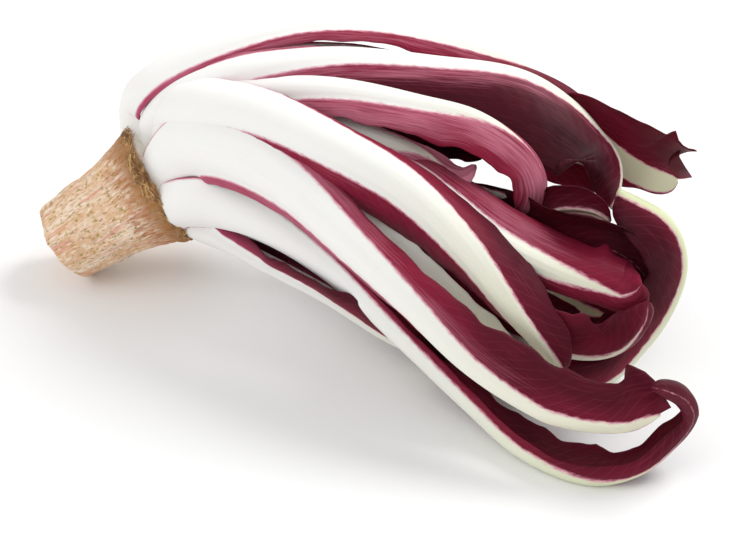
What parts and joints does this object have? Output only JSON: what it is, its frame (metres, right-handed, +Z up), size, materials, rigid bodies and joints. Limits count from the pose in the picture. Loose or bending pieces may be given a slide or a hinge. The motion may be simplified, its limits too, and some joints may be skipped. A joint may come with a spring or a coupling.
{
  "type": "treviso radicchio head",
  "caption": "Head of late red radicchio lying on its side: trimmed tan root, long curved white ribs with dark red curled blades gathered round a small heart.",
  "frame": {"origin": "on the surface it lies on, under the middle of its box", "axes": "+X from the root to the leaf tips, +Z up"},
  "size_m": [0.2483, 0.1106, 0.096],
  "materials": {
    "root_bark": "rough, ridged and pitted tan root skin, torn brown at the collar",
    "rib_white": "satin, firm and smooth, with fine lengthwise veins, greener near the tip",
    "blade_red": "satin dark red to maroon leaf with fine paler veins"
  },
  "bodies": {
    "root": {"root_stub": "root_bark", "leaf_front_rib": "rib_white", "leaf_front_low_rib": "rib_white", "leaf_front_top_rib": "rib_white", "leaf_top_back_rib": "rib_white", "leaf_top_rib": "rib_white", "leaf_top_front_rib": "rib_white", "leaf_far_top_rib": "rib_white", "leaf_middle_rib": "rib_white", "leaf_middle_low_rib": "rib_white", "leaf_hook_rib": "rib_white", "leaf_bottom_rib": "rib_white", "leaf_back_low_rib": "rib_white", "leaf_back_middle_rib": "rib_white", "leaf_under_rib": "rib_white", "leaf_inner_front_rib": "rib_white", "leaf_inner_top_rib": "rib_white", "leaf_inner_back_rib": "rib_white", "leaf_inner_low_rib": "rib_white", "leaf_heart_top_rib": "rib_white", "leaf_heart_right_rib": "rib_white", "leaf_heart_low_rib": "rib_white", "leaf_front_blade": "blade_red", "leaf_front_low_blade": "blade_red", "leaf_front_top_blade": "blade_red", "leaf_top_back_blade": "blade_red", "leaf_top_blade": "blade_red", "leaf_top_front_blade": "blade_red", "leaf_far_top_blade": "blade_red", "leaf_middle_blade": "blade_red", "leaf_middle_low_blade": "blade_red", "leaf_hook_blade": "blade_red", "leaf_bottom_blade": "blade_red", "leaf_back_low_blade": "blade_red", "leaf_back_middle_blade": "blade_red", "leaf_under_blade": "blade_red", "leaf_inner_front_blade": "blade_red", "leaf_inner_top_blade": "blade_red", "leaf_inner_back_blade": "blade_red", "leaf_inner_low_blade": "blade_red", "leaf_heart_top_blade": "blade_red", "leaf_heart_right_blade": "blade_red", "leaf_heart_low_blade": "blade_red"}
  },
  "joints": []
}
